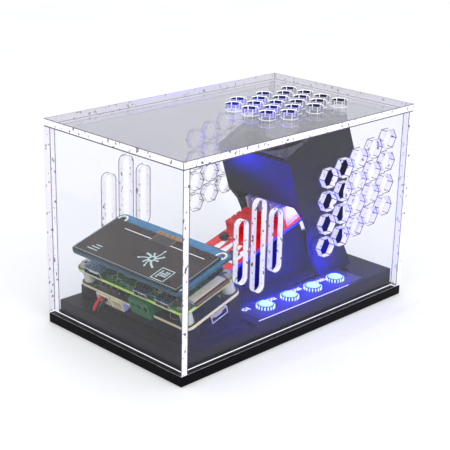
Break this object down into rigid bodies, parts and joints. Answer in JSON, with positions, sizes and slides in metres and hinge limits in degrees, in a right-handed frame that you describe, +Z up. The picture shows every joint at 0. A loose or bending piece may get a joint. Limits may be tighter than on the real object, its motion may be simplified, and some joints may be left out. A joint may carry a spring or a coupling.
{
  "type": "cased single board computer",
  "caption": "Small single board computer with an e-paper display on a tilted stack, a lit-button hub, a plug-in board and a fan hood, on a base under a clear lift-off cover.",
  "frame": {"origin": "bottom centre of the base plate", "axes": "+Z up, X along the case with the display end at -X, buttons along the -Y side"},
  "size_m": [0.134, 0.0804, 0.0872],
  "materials": {
    "base_gloss": "polished black acrylic sheet",
    "printed_black": "black printed plastic with fine layer lines",
    "clear_acrylic": "clear polished acrylic",
    "screw_steel": "plain",
    "socket_black": "moulded",
    "board_black": "solder mask with cream edges",
    "board_green": "solder mask",
    "board_blue": "solder mask",
    "board_red": "solder mask",
    "chip_black": "moulded",
    "chip_tan": "fired",
    "port_steel": "plated",
    "connector_cream": "moulded",
    "terminal_green": "moulded",
    "spacer_nylon": "moulded nylon",
    "latch_brown": "moulded",
    "display_glass": "satin panel",
    "flex_amber": "polyimide film",
    "lead_red": "insulation",
    "lead_black": "insulation",
    "hub_black": "moulded",
    "button_glow": "lit translucent cap",
    "anodised_red": "anodised",
    "sink_aluminium": "satin",
    "fan_plastic": "moulded"
  },
  "bodies": {
    "unit": {"base_plate": "base_gloss", "battery_connectors": "connector_cream", "camera_connector": "connector_cream", "display_board": "board_blue", "display_board_parts": "chip_black", "display_panel": "display_glass", "display_socket": "socket_black", "display_tail": "flex_amber", "fan_frame": "fan_plastic", "fan_hood": "printed_black", "fan_screws": "screw_steel", "gpio_header": "socket_black", "heat_sink": "sink_aluminium", "heat_spreader": "anodised_red", "hub_board": "board_green", "hub_housing": "hub_black", "hub_lid": "hub_black", "hub_switches": "port_steel", "lower_spacers": "spacer_nylon", "main_board": "board_green", "main_board_parts": "chip_tan", "micro_usb_ports": "port_steel", "mini_hdmi_port": "port_steel", "platform": "printed_black", "platform_screws": "screw_steel", "power_board": "board_black", "power_board_chips": "chip_black", "power_inlet": "socket_black", "power_usb_port": "port_steel", "processor": "chip_black", "radio_shield": "port_steel", "sd_socket": "port_steel", "stack_screws": "screw_steel", "stack_stand": "printed_black", "stick_board": "board_red", "stick_chips": "chip_black", "stick_cradle": "printed_black", "stick_plug": "port_steel", "stick_socket": "socket_black", "supply_lead_black": "lead_black", "supply_lead_red": "lead_red", "terminal_block": "terminal_green"},
    "cover": {"cover_front": "clear_acrylic", "cover_left_end": "clear_acrylic", "cover_rear": "clear_acrylic", "cover_right_end": "clear_acrylic", "cover_top": "clear_acrylic"},
    "rotor": {"fan_rotor": "fan_plastic"},
    "card": {"sd_card": "chip_black"},
    "latch": {"camera_latch": "latch_brown"},
    "button_1": {"power_button_1": "button_glow"},
    "button_2": {"power_button_2": "button_glow"},
    "button_3": {"power_button_3": "button_glow"},
    "button_4": {"power_button_4": "button_glow"}
  },
  "joints": [
    {"name": "cover_lift", "type": "slide", "parent": "unit", "child": "cover", "axis": [0, 0, 1], "range_m": [0, 0.09]},
    {"name": "fan_spin", "type": "hinge", "parent": "unit", "child": "rotor", "pos_m": [0.03046, 0, 0.07042], "axis": [-0.4067, 0, 0.9135], "continuous": true},
    {"name": "button_1_press", "type": "slide", "parent": "unit", "child": "button_1", "axis": [0, 0, -1], "range_m": [0, 0.0011], "stiffness_N_per_m": 900},
    {"name": "button_2_press", "type": "slide", "parent": "unit", "child": "button_2", "axis": [0, 0, -1], "range_m": [0, 0.0011], "stiffness_N_per_m": 900},
    {"name": "button_3_press", "type": "slide", "parent": "unit", "child": "button_3", "axis": [0, 0, -1], "range_m": [0, 0.0011], "stiffness_N_per_m": 900},
    {"name": "button_4_press", "type": "slide", "parent": "unit", "child": "button_4", "axis": [0, 0, -1], "range_m": [0, 0.0011], "stiffness_N_per_m": 900},
    {"name": "card_slide", "type": "slide", "parent": "unit", "child": "card", "axis": [0, 1, 0], "range_m": [0, 0.003]},
    {"name": "latch_slide", "type": "slide", "parent": "unit", "child": "latch", "axis": [0, -1, 0], "range_m": [0, 0.001]}
  ]
}
